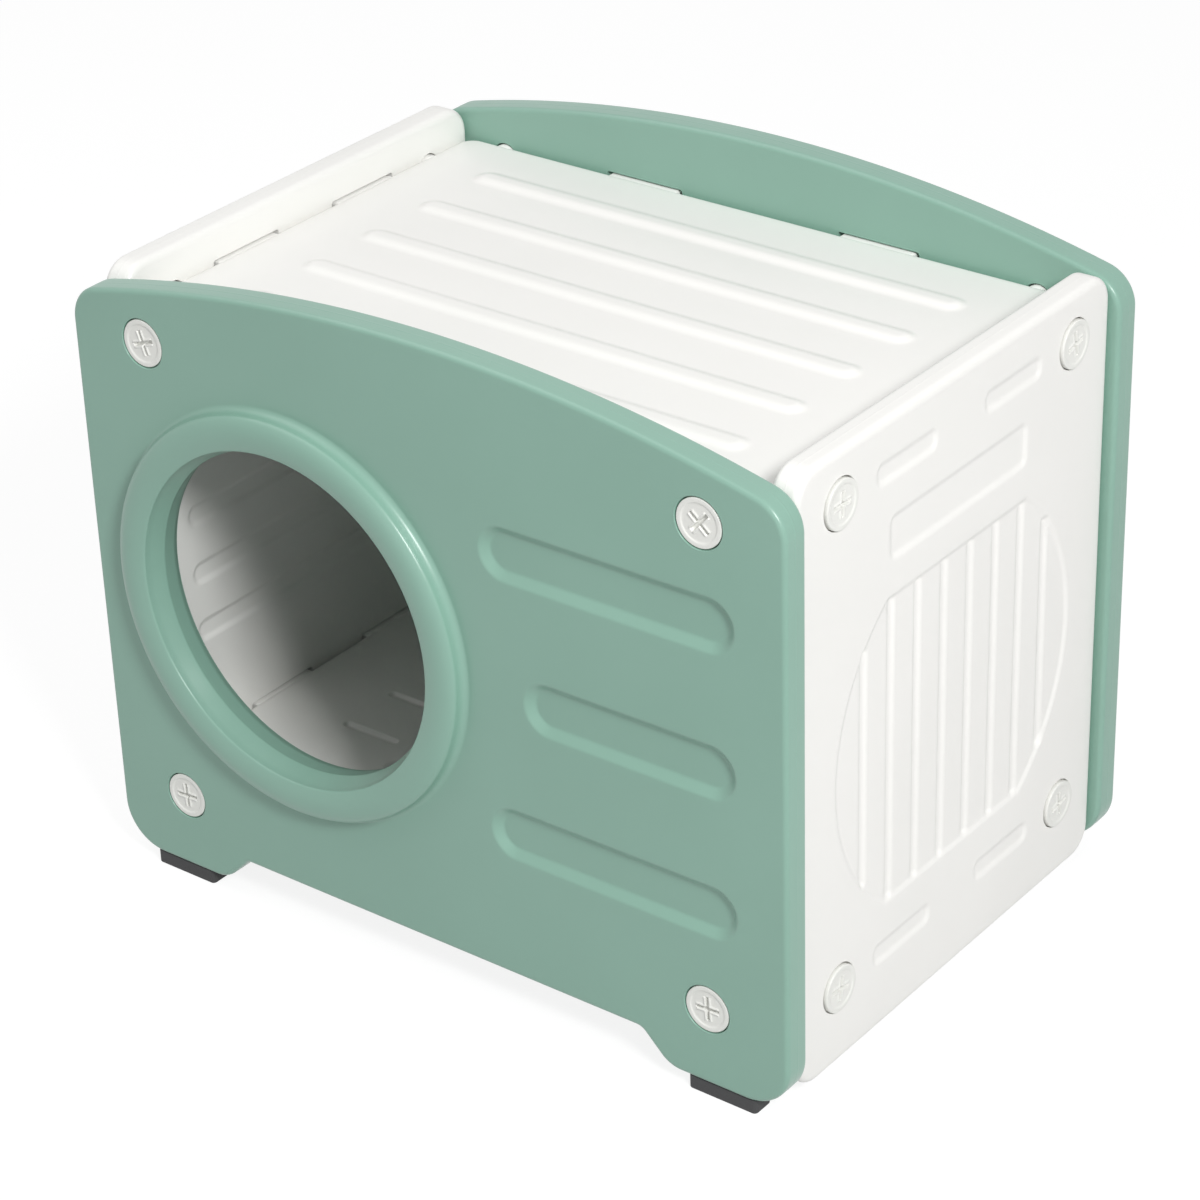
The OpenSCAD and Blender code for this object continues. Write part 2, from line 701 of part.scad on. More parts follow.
// A screw with its head's seat at z = 0, its face up, the cross turned by an angle
module screw(turn) {
    dish = head_h - dish_depth;
    core_r = thread_r - thread_depth;
    turns = floor((shank_l - neck_l) / thread_pitch);
    color(screw_white) rotate([0, 0, turn]) {
        difference() {
            rotate_extrude() polygon(concat(
                [[0, -shank_l], [core_r - thread_depth, -shank_l]],
                [for (i = [0 : turns - 1]) each [
                    [core_r, (i + 0.5) * thread_pitch - shank_l],
                    [thread_r, (i + 0.75) * thread_pitch - shank_l],
                    [core_r, (i + 1) * thread_pitch - shank_l]
                ]],
                [[core_r, -2 * thread_depth], [thread_r, 0], [head_r - head_edge, 0], [head_r, head_edge]],
                [[head_r, head_h - head_edge], [head_r - head_edge, head_h]],
                [[head_r - head_rim, head_h], [head_r - head_rim - dish_depth, dish], [0, dish]]
            ));
            for (a = [0, 90]) rotate([0, 0, a])
                translate([-cross_half_l, -cross_w / 2, dish - cross_depth])
                    cube([2 * cross_half_l, cross_w, cross_depth + over]);
        }
        for (a = [0 : 90 : 270]) rotate([0, 0, a]) translate([0, 0, dish - over]) {
            translate([cross_w / 2, cross_w / 2, 0]) {
                cube([cross_half_l - cross_w / 2, cross_rib, over + dish_depth]);
                cube([cross_rib, cross_half_l - cross_w / 2, over + dish_depth]);
            }
        }
    }
}

// A rubber foot with its top at z = 0, long along x
module foot() {
    color(black) {
        translate([0, 0, -pad_h]) slab(pad_l, pad_w, pad_h, pad_corner_r, pad_corner_r / 3);
        for (x = [-stem_pitch / 2, stem_pitch / 2])
            translate([x, 0, -over]) cylinder(r = stem_r, h = stem_l + over);
    }
}

// Puts something drawn on a standing wall into place, its outer side to the front
module on_front() {
    translate([0, mid_y - half_d, base_z]) rotate([90, 0, 0]) children();
}

// The same at the rear
module on_rear() {
    translate([0, mid_y + half_d, base_z]) rotate([90, 0, 180]) children();
}

// The same at the right
module on_right() {
    translate([cabin_w / 2, mid_y, base_z]) rotate([90, 0, 90]) children();
}

// The same at the left
module on_left() {
    translate([-cabin_w / 2, mid_y, base_z]) rotate([90, 0, -90]) children();
}

// A screw of a front or rear panel: side is -1 or 1, row is 0 at the floor and 1 at the roof
module end_screw(side, row, turn) {
    translate([side * end_screw_pitch / 2, row * deck_pitch, end_t - end_pocket_d]) screw(turn);
}

// A screw of a side panel, in the same way
module side_screw(side, row, turn) {
    translate([side * side_screw_pitch / 2, row * deck_pitch, side_t - side_pocket_d]) screw(turn);
}

// A foot: side is -1 at the left and 1 at the right, end is -1 at the front and 1 at the rear
module foot_at(side, end) {
    translate([side * pad_x, mid_y + end * (half_d + end_t / 2), pad_h]) foot();
}

module front_panel() { color(green) on_front() end_panel(true); }
module rear_panel() { color(green) on_rear() end_panel(false); }
module left_panel() { color(white) on_left() side_panel(); }
module right_panel() { color(white) on_right() side_panel(); }
module roof_panel() { color(white) translate([0, mid_y, base_z + deck_pitch]) rotate([180, 0, 0]) deck(); }
module floor_panel() { color(white) translate([0, mid_y, base_z]) deck(); }

module front_screw_upper_left() { on_front() end_screw(-1, 1, 20); }
module front_screw_upper_right() { on_front() end_screw(1, 1, 48); }
module front_screw_lower_left() { on_front() end_screw(-1, 0, 4); }
module front_screw_lower_right() { on_front() end_screw(1, 0, 3); }
module rear_screw_upper_left() { on_rear() end_screw(1, 1, 25); }
module rear_screw_upper_right() { on_rear() end_screw(-1, 1, 40); }
module rear_screw_lower_left() { on_rear() end_screw(1, 0, 60); }
module rear_screw_lower_right() { on_rear() end_screw(-1, 0, 12); }
module left_screw_upper_front() { on_left() side_screw(1, 1, 33); }
module left_screw_upper_rear() { on_left() side_screw(-1, 1, 8); }
module left_screw_lower_front() { on_left() side_screw(1, 0, 71); }
module left_screw_lower_rear() { on_left() side_screw(-1, 0, 50); }
module right_screw_upper_front() { on_right() side_screw(-1, 1, 88); }
module right_screw_upper_rear() { on_right() side_screw(1, 1, 12); }
module right_screw_lower_front() { on_right() side_screw(-1, 0, 82); }
module right_screw_lower_rear() { on_right() side_screw(1, 0, 8); }

module foot_front_left() { foot_at(-1, -1); }
module foot_front_right() { foot_at(1, -1); }
module foot_rear_left() { foot_at(-1, 1); }
module foot_rear_right() { foot_at(1, 1); }

front_panel();
rear_panel();
left_panel();
right_panel();
roof_panel();
floor_panel();
front_screw_upper_left();
front_screw_upper_right();
front_screw_lower_left();
front_screw_lower_right();
rear_screw_upper_left();
rear_screw_upper_right();
rear_screw_lower_left();
rear_screw_lower_right();
left_screw_upper_front();
left_screw_upper_rear();
left_screw_lower_front();
left_screw_lower_rear();
right_screw_upper_front();
right_screw_upper_rear();
right_screw_lower_front();
right_screw_lower_rear();
foot_front_left();
foot_front_right();
foot_rear_left();
foot_rear_right();
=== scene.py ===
import math

import bmesh
import bpy
import numpy as np
from mathutils import Matrix, Vector, kdtree
from mathutils.geometry import delaunay_2d_cdt


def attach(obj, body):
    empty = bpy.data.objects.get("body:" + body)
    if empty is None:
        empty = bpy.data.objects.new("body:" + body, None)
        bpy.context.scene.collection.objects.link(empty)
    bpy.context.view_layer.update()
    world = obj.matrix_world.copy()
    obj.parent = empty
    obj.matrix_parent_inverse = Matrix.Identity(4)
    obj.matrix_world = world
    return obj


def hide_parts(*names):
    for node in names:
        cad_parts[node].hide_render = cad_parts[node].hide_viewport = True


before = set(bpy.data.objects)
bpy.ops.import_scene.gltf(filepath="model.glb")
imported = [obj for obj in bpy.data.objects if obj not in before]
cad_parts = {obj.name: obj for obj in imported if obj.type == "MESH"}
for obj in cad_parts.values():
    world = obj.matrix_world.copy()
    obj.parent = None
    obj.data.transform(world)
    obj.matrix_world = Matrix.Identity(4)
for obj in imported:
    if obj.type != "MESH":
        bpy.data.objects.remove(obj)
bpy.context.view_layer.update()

# Sizes in millimetres, from the values of part.scad. CROWN_OVER is 0.1 less, as the crown is drawn there.
# The slopes FIELD_WALL, RIB_WALL and DRAIN_WALL, the small edges and the SOFT values, which say how far
# an edge is blurred to each side, belong to this model alone.
CABIN_W, CABIN_D, DECK_PITCH = 495, 345, 334
END_T, HALF_W, CROWN_OVER, CROWN_R, TOP_R, LOW_R = 21, 275, 58.4, 1090, 26, 32
FOOT_DROP, ARCH_H, ARCH_HALF, SLOPE, TOE_R, ARCH_R, END_ROUND = 55.5, 21, 160, 45, 22, 9, 3.5
ENTRY, ENTRY_R, FOOT_R, WALL_R, CREST_R = (-105.5, 171.5), 112.5, 145, 140.5, 129
RING_H, SHOULDER, MOUTH_SLOPE, MOUTH_ROUND, MOUTH_R = 12, 5.5, 20, 1.8, 117
INNER_R, INNER_EDGE, MOULD_LINE = 116, 2, 14.5
BAND_H, BAND_D, BAND_WALL, BAND_PITCH, BAND_Z, BAND_OUT = 37, 4.5, 6, 98.5, 171.5, 239
BAND_LONG, BAND_SHORT, BAND_SOFT = 187, 157, 1.0
SIDE_T, SIDE_OVER, SIDE_UNDER, SIDE_R, SIDE_ROUND = 20.5, 34, 55.5, 20, 5
FIELD_R, FIELD_H, FIELD_Z, FIELD_D, FIELD_WALL, FIELD_SOFT = 133, 108, 141.5, 1.4, 2.8, 1.3
GROOVE_PITCH, GROOVE_W, GROOVE_WALL, GROOVE_D, GROOVE_IN, GROOVE_SOFT = 29.1, 9, 3, 1.5, 1, 1.2
LONG_L, LONG_H, LONG_Z, SHORT_L, SHORT_H = 153, 31, 287.5, 65, 16
SLOT_R, SLOT_D, SLOT_WALL, SLOT_SOFT = 7, 1.6, 3.5, 1.5
INNER_L, INNER_H, INNER_D, INNER_Z, INNER_PITCH, INNER_SOFT = 271, 17, 1.8, 174, 43.5, 1.1
DECK_T, DECK_R, DECK_ROUND, RIB_PITCH, RIB_L, RIB_W, RIB_H = 21, 14, 7, 58.5, 390, 20, 2.6
RIB_WALL, RIB_SOFT = 5.5, 2.2
DRAIN_L, DRAIN_W, DRAIN_D, DRAIN_WALL, DRAIN_SOFT, DRAIN_X, DRAIN_Y = 47, 7, 2.8, 1.6, 0.6, 103, 48.5
DIMPLE_R, DIMPLE_D, DIMPLE_SOFT, DIMPLE_X, DIMPLE_Y = 9, 4.5, 1.2, 221, 194
END_SCREWS, SIDE_SCREWS, END_TONGUES, SIDE_TONGUES = 430, 257, 189, 117
BOSS_R, KEY_D, SOCKET_R, SOCKET_D, TONGUE_L, TONGUE_H = 9.5, 8, 10.5, 8.5, 57, 18.5
TONGUE_R, TONGUE_SLOT_L, TONGUE_SLOT_H = 2, 63, 20.3
HEAD_R, HEAD_H, HEAD_EDGE, HEAD_RIM, DISH_D, DISH_WALL = 16, 5.5, 0.7, 3, 0.6, 0.9
CROSS_L, CROSS_W, CROSS_D, CROSS_RIB = 8.5, 1.2, 2.6, 1.5
NECK_R, THREAD_R, TIP_R, THREAD_PITCH, SHANK_L = 5.4, 6.5, 4.3, 4, 30
POCKET_R, END_POCKET, SIDE_POCKET, HOLE_R, EDGE = 16.8, 5.9, 3.5, 6.8, 0.8
JOINT_GAP, BASE_Z, MID_Y = 0.4, 66, 6
SIDE_W, SIDE_H = CABIN_D - 2 * JOINT_GAP, DECK_PITCH + SIDE_OVER + SIDE_UNDER
SIDE_MID = (DECK_PITCH + SIDE_OVER - SIDE_UNDER) / 2
DECK_W, DECK_DEPTH = CABIN_W - 2 * JOINT_GAP, CABIN_D - 2 * JOINT_GAP

# Finer forms and the spacing of the mesh, in millimetres
LINE_IN, LINE_HALF, LINE_FOOT, LINE_OUT = 0.1, 0.15, 0.5, 1.2
TURN = 0.5
AROUND = (0.9, 2.6, 6)
ALONG_RIM = (1, 4)
RING_SINK = 0.05
KEY_START, BOSS_EDGE, KEY_EDGE = 1, 1.5, 1.2
COARSE, COARSE_INSIDE, FINE_HEAD = 9.0, 14, 1.6


def sin(a):
    return math.sin(math.radians(a))


def cos(a):
    return math.cos(math.radians(a))


# Outlines. A part of one is a centre, a radius, 1 for an outside and -1 for an inside corner,
# two angles, the steps of the arc and the steps of the straight that follows it.

def outline(parts, e=0.0, c=(0, 0)):
    arcs = []
    for (centre, r, sign, a, b, n, m) in parts:
        angle = np.radians(np.linspace(a, b, n + 1))
        ring = np.column_stack([np.cos(angle), np.sin(angle)])
        arcs.append(np.array(centre) + np.array(c) + (r - sign * e) * ring)
    points = []
    for i, (part, arc) in enumerate(zip(parts, arcs)):
        follow = arcs[(i + 1) % len(arcs)][0]
        if part[6] == 0:
            points.append(arc[:-1])
            continue
        points.append(arc)
        t = np.arange(1, part[6])[:, None] / part[6]
        points.append(arc[-1] * (1 - t) + follow * t)
    return np.vstack(points)


def end_parts():
    crown_z = DECK_PITCH + CROWN_OVER - CROWN_R
    crown = math.degrees(math.asin((HALF_W - TOP_R) / (CROWN_R - TOP_R)))
    top_z = crown_z + (CROWN_R - TOP_R) * cos(crown)
    low_z, toe_z, arch_z = LOW_R - FOOT_DROP, TOE_R - FOOT_DROP, ARCH_H - FOOT_DROP - ARCH_R
    rise = ARCH_H - (TOE_R + ARCH_R) * (1 - cos(SLOPE))
    toe_x = ARCH_HALF + (TOE_R + ARCH_R) * sin(SLOPE) + rise * cos(SLOPE) / sin(SLOPE)
    return [
        ((ARCH_HALF, arch_z), ARCH_R, -1, 90, 90 - SLOPE, 7, 4),
        ((toe_x, toe_z), TOE_R, 1, -90 - SLOPE, -90, 10, 6),
        ((HALF_W - LOW_R, low_z), LOW_R, 1, -90, 0, 16, 44),
        ((HALF_W - TOP_R, top_z), TOP_R, 1, 0, 90 - crown, 14, 0),
        ((0, crown_z), CROWN_R, 1, 90 - crown, 90 + crown, 72, 0),
        ((TOP_R - HALF_W, top_z), TOP_R, 1, 90 + crown, 180, 14, 44),
        ((LOW_R - HALF_W, low_z), LOW_R, 1, 180, 270, 16, 6),
        ((-toe_x, toe_z), TOE_R, 1, 270, 270 + SLOPE, 10, 4),
        ((-ARCH_HALF, arch_z), ARCH_R, -1, 90 + SLOPE, 90, 7, 36),
    ]


def box_parts(w, h, r, y=0.0, step=COARSE, n=12):
    a, b = w / 2 - r, h / 2 - r
    mx, my = max(1, round(2 * a / step)), max(1, round(2 * b / step))
    return [((a, y + b), r, 1, 0, 90, n, mx), ((-a, y + b), r, 1, 90, 180, n, my),
            ((-a, y - b), r, 1, 180, 270, n, mx), ((a, y - b), r, 1, 270, 360, n, my)]


def circle(c, r, n=48):
    a = np.arange(n) * 2 * math.pi / n
    return np.array(c) + r * np.column_stack([np.cos(a), np.sin(a)])


# Forms on a face: how deep a point lies inside one, and the soft-edged wall of a recess

def capsule_in(x, y, c, l, w, upright=False):
    dx, dy = (y - c[1], x - c[0]) if upright else (x - c[0], y - c[1])
    return w / 2 - np.hypot(np.maximum(np.abs(dx) - (l - w) / 2, 0), dy)


def tray_in(x, y, c, l, w, r):
    dx, dy = np.abs(x - c[0]) - (l / 2 - r), np.abs(y - c[1]) - (w / 2 - r)
    return r - np.hypot(np.maximum(dx, 0), np.maximum(dy, 0)) - np.minimum(np.maximum(dx, dy), 0)


def wall(d, width, soft):
    def area(u):
        return np.where(u <= 0, 0, np.where(u >= width, u - width / 2, u * u / (2 * width)))
    return (area(d + soft) - area(d - soft)) / (2 * soft)


def rows(width, soft, n=9):
    slope = np.linspace(-soft, width + soft, n)
    return np.concatenate([[-soft - 3, -soft - 0.9], slope, [width + soft + 0.8]])


def capsule_points(c, l, w, depths, upright=False, n=14):
    half, out = (l - w) / 2, []
    xs = np.linspace(-half, half, max(2, round(2 * half / 6.5)) + 1)
    turn = np.radians(np.linspace(-90, 90, n + 1))[1:-1]
    for d in depths:
        r = w / 2 - d
        if r < 0.35:
            out.append(np.column_stack([xs, 0 * xs]))
            continue
        out.append(np.column_stack([xs, 0 * xs + r]))
        out.append(np.column_stack([xs, 0 * xs - r]))
        for s in (-1, 1):
            out.append(np.column_stack([s * (half + r * np.cos(turn)), r * np.sin(turn)]))
    p = np.vstack(out)
    if upright:
        p = p[:, ::-1]
    return p + np.array(c)


def tray_points(c, l, w, r, depths):
    parts = box_parts(l, w, r, step=6.5, n=10)
    return np.vstack([outline(parts, min(d, r - 0.4), c) for d in depths])


def ring_points(c, radii, n=48):
    return np.vstack([circle(c, r, n) for r in radii])


def waves(x, y, seed=0.0):
    """Slight sinks of a moulded wall, 0 to 0.24 mm deep."""
    a = np.sin(x / 31 + 1.3 + seed) * np.cos(y / 37 + 0.7 - seed)
    b = np.sin((x + 0.6 * y) / 53 + 2.1 * seed) + 0.4 * np.sin((0.7 * x - y) / 19 + seed)
    return -0.12 - 0.05 * a - 0.045 * b


def inside(p, loop):
    x, y, hit = p[:, 0], p[:, 1], np.zeros(len(p), bool)
    for (x1, y1), (x2, y2) in zip(loop, np.roll(loop, -1, 0)):
        if y1 != y2:
            hit ^= ((y1 > y) != (y2 > y)) & (x < (x2 - x1) * (y - y1) / (y2 - y1) + x1)
    return hit


def nearest(points, p):
    tree = kdtree.KDTree(len(points))
    for k, q in enumerate(points):
        tree.insert((q[0], q[1], 0), k)
    tree.balance()
    return np.array([tree.find((q[0], q[1], 0))[2] for q in p])


class Shell:
    """A closed skin made of loops and faces, in millimetres in the piece's own frame."""

    def __init__(self):
        self.v, self.f, self.count = [], [], 0

    def add(self, points):
        self.v.append(np.asarray(points, float))
        self.count += len(points)
        return self.count - len(points)

    def tube(self, loops):
        starts, n = [self.add(p) for p in loops], len(loops[0])
        i = np.arange(n)
        j = (i + 1) % n
        for a, b in zip(starts, starts[1:]):
            self.f.append(np.column_stack([a + i, b + i, b + j, a + j]))

    def lid(self, loop):
        start, n = self.add(loop), len(loop)
        centre = self.add([np.mean(loop, 0)])
        i = np.arange(n)
        self.f.append(np.column_stack([start + i, start + (i + 1) % n, np.full(n, centre)]))

    def face(self, rim, holes, fine, height, grid=COARSE):
        """Fills the area inside rim and outside the holes. The triangles follow the fine points."""
        every = np.vstack(fine)
        _, first = np.unique(np.round(every / 0.3).astype(int), axis=0, return_index=True)
        keep = every[np.sort(first)]
        loops = [rim] + holes
        edge = np.vstack(loops)
        lo, hi = rim.min(0), rim.max(0)
        gx, gy = np.meshgrid(np.arange(lo[0], hi[0], grid), np.arange(lo[1], hi[1], grid * 0.866))
        gx = gx + (np.arange(gx.shape[0])[:, None] % 2) * grid / 2
        coarse = np.column_stack([gx.ravel(), gy.ravel()])
        far = nearest(np.vstack([keep, edge]), coarse) > grid * 0.45
        points = np.vstack([keep, coarse[far]])
        good = inside(points, rim)
        for hole in holes:
            good &= ~inside(points, hole)
        points = points[good]
        dense = [loop + (np.roll(loop, -1, 0) - loop) * t for loop in loops for t in (0, 0.25, 0.5, 0.75)]
        points = points[nearest(np.vstack(dense), points) > 0.5]
        links, base = [], 0
        for loop in loops:
            links += [(base + i, base + (i + 1) % len(loop)) for i in range(len(loop))]
            base += len(loop)
        flat = [Vector(p) for p in np.vstack([edge, points])]
        got = delaunay_2d_cdt(flat, links, [], 0, 1e-6, False)
        v = np.array([(p[0], p[1]) for p in got[0]])
        f = np.array([t for t in got[2] if len(t) == 3])
        mid = v[f].mean(1)
        good = inside(mid, rim)
        for hole in holes:
            good &= ~inside(mid, hole)
        start = self.add(np.column_stack([v, height(v[:, 0], v[:, 1])]))
        self.f.append(f[good] + start)

    def mesh(self, name, matrix=Matrix.Identity(4)):
        bm = bmesh.new()
        verts = [bm.verts.new(p) for p in np.vstack(self.v)]
        for block in self.f:
            for f in block:
                try:
                    bm.faces.new([verts[i] for i in f])
                except ValueError:
                    pass
        bmesh.ops.remove_doubles(bm, verts=bm.verts, dist=0.004)
        bmesh.ops.dissolve_degenerate(bm, edges=bm.edges, dist=0.0005)
        loose = [p for p in bm.verts if not p.link_faces]
        bmesh.ops.delete(bm, geom=loose, context="VERTS")
        bmesh.ops.recalc_face_normals(bm, faces=bm.faces)
        for f in bm.faces:
            f.smooth = True
        bm.transform(matrix @ Matrix.Scale(0.001, 4))
        data = bpy.data.meshes.new(name)
        bm.to_mesh(data)
        bm.free()
        return data


def at(loop, z):
    return np.column_stack([loop, np.broadcast_to(z, len(loop))])


def rim_tube(shell, parts, t, r, top, bottom, line=LINE_IN):
    """The rounded rim between the two faces, with the fine parting line of the mould half way."""
    turns = np.linspace(0, 90, 9)
    loops = []
    for a in turns:
        loop = outline(parts, r * (1 - sin(a)) + line * sin(a))
        loops.append(at(loop, t - r * (1 - cos(a)) + top(loop[:, 0], loop[:, 1]) * cos(a) ** 2))
    for z, e in ((LINE_OUT, line), (LINE_FOOT, line), (LINE_HALF, 0),
                 (-LINE_HALF, 0), (-LINE_FOOT, line), (-LINE_OUT, line)):
        loops.append(at(outline(parts, e), t / 2 + z))
    for a in turns[::-1]:
        loop = outline(parts, r * (1 - sin(a)) + line * sin(a))
        loops.append(at(loop, r * (1 - cos(a)) + bottom(loop[:, 0], loop[:, 1]) * cos(a) ** 2))
    shell.tube(loops)
    return loops[0][:, :2], loops[-1][:, :2]


def joint_places(pitch):
    return [(x, y) for x in (-pitch / 2, pitch / 2) for y in (0, DECK_PITCH)]


def quarter(r, z, e, up=1, n=4):
    """Rounded edge, from the face at z on, as pairs of radius and height.

    A positive e widens a hole at its mouth, a negative one with up -1 rounds the rim of a head.
    """
    turns = np.linspace(0, 90, n + 1)
    return [(r + e * (1 - sin(a)), z - up * e * (1 - cos(a))) for a in turns]


def joint_tubes(shell, t, pocket, screws, tongues, top, bottom):
    """Pockets, holes and sockets of the four screws, and the slots of the four tongues."""
    out_holes, in_holes, out_points, in_points = [], [], [], []
    profile = quarter(POCKET_R, t, EDGE)
    profile += [(POCKET_R, t - pocket + TURN), (POCKET_R - TURN, t - pocket), (HOLE_R + 0.4, t - pocket),
                (HOLE_R, t - pocket - 0.4), (HOLE_R, SOCKET_D), (SOCKET_R - TURN, SOCKET_D),
                (SOCKET_R, SOCKET_D - TURN)]
    profile += quarter(SOCKET_R, 0, EDGE, -1)[::-1]
    for c in joint_places(screws):
        loops = [at(circle(c, r), z) for r, z in profile]
        for loop, lift in ((loops[0], top), (loops[-1], bottom)):
            loop[:, 2] += lift(loop[:, 0], loop[:, 1])
        shell.tube(loops)
        out_holes.append(loops[0][:, :2])
        in_holes.append(loops[-1][:, :2])
        out_points.append(ring_points(c, [POCKET_R + EDGE + g for g in AROUND]))
        in_points.append(ring_points(c, [SOCKET_R + EDGE + g for g in AROUND]))
    parts = box_parts(TONGUE_SLOT_L, TONGUE_SLOT_H, TONGUE_R, n=6)
    for c in joint_places(tongues):
        profile = quarter(0, 0, EDGE, -1) + [(0, SOCKET_D - TURN), (-TURN, SOCKET_D)]
        loops = [at(outline(parts, -r, c), z) for r, z in profile]
        loops[0][:, 2] += bottom(loops[0][:, 0], loops[0][:, 1])
        shell.tube(loops)
        shell.lid(loops[-1])
        in_holes.append(loops[0][:, :2])
        in_points.append(np.vstack([outline(parts, -EDGE - g, c) for g in AROUND]))
    return out_holes, in_holes, out_points, in_points


def ring_profile():
    """Entrance ring and bore from the front face to the inner face: radius, height, share of the waves."""
    lip_r = MOUTH_R + MOUTH_ROUND * (1 - sin(MOUTH_SLOPE))
    drop = math.tan(math.radians(MOUTH_SLOPE)) * (CREST_R - lip_r) / 2
    face, low, lip_z = END_T - RING_SINK, RING_H - SHOULDER, END_T + RING_H - drop - RING_SINK
    narrow = lip_z - MOULD_LINE
    out = [(FOOT_R + 1.2, END_T, 1)]
    out += [(FOOT_R - (FOOT_R - WALL_R) * sin(a), face + low * (1 - cos(a)), 1 - a / 180)
            for a in np.linspace(0, 90, 12)]
    out += [(CREST_R + (WALL_R - CREST_R) * cos(a), face + low + SHOULDER * sin(a), 0.5)
            for a in np.linspace(0, 90, 15)[1:]]
    out += [(CREST_R - (CREST_R - lip_r) * u, face + RING_H - drop * u * u, 0.5 - 0.4 * u)
            for u in (0.15, 0.3, 0.5, 0.7, 0.86)]
    mouth_z = lip_z - MOUTH_ROUND * cos(MOUTH_SLOPE)
    out += [(MOUTH_R + MOUTH_ROUND * (1 + cos(a)), mouth_z + MOUTH_ROUND * sin(a), 0)
            for a in np.linspace(90 + MOUTH_SLOPE, 180, 8)]
    out += [(MOUTH_R - (MOUTH_R - ENTRY_R) * u, mouth_z - (mouth_z - narrow) * u, 0)
            for u in (0.3, 0.7, 0.95)]
    out += [(ENTRY_R + RING_SINK, narrow, 0)]
    out += [(ENTRY_R + (INNER_R - ENTRY_R) * u, narrow * (1 - u), 0) for u in (0.04, 0.3, 0.6, 0.86)]
    return out + [(r, z, 0) for r, z in quarter(INNER_R, 0, INNER_EDGE, -1, 5)[::-1]]


def end_panel(entry):
    shell, parts = Shell(), end_parts()
    seed = 0.0 if entry else 1.9
    bands = [((s * (BAND_OUT - l / 2), BAND_Z + row * BAND_PITCH), l)
             for s in ((1,) if entry else (1, -1))
             for row, l in ((-1, BAND_LONG), (0, BAND_SHORT), (1, BAND_LONG))]

    def top(x, y):
        z = waves(x, y, seed)
        for c, l in bands:
            z = z - BAND_D * wall(capsule_in(x, y, c, l, BAND_H), BAND_WALL, BAND_SOFT)
        return z

    def bottom(x, y):
        return -waves(x, y, seed + 4)

    rim_out, rim_in = rim_tube(shell, parts, END_T, END_ROUND, top, bottom)
    out_holes, in_holes, out_points, in_points = joint_tubes(
        shell, END_T, END_POCKET, END_SCREWS, END_TONGUES, top, bottom)
    for c, l in bands:
        out_points.append(capsule_points(c, l, BAND_H, rows(BAND_WALL, BAND_SOFT, 14), n=28))
    if entry:
        loops = []
        for r, z, share in ring_profile():
            loop = circle(ENTRY, r, 180)
            loops.append(at(loop, z + share * waves(loop[:, 0], loop[:, 1], seed)))
        loops[-1][:, 2] = bottom(loops[-1][:, 0], loops[-1][:, 1])
        shell.tube(loops)
        out_holes.append(loops[0][:, :2])
        in_holes.append(loops[-1][:, :2])
        out_points.append(ring_points(ENTRY, [FOOT_R + g for g in (2.2, 4, 7.5)], 180))
        in_points.append(ring_points(ENTRY, [INNER_R + INNER_EDGE + g for g in (1, 3, 7)], 120))
    for points in (out_points, in_points):
        points.append(np.vstack([outline(parts, END_ROUND + g) for g in ALONG_RIM]))
    shell.face(rim_out, out_holes, out_points, lambda x, y: END_T + top(x, y))
    shell.face(rim_in, in_holes, in_points, bottom, COARSE_INSIDE)
    return shell


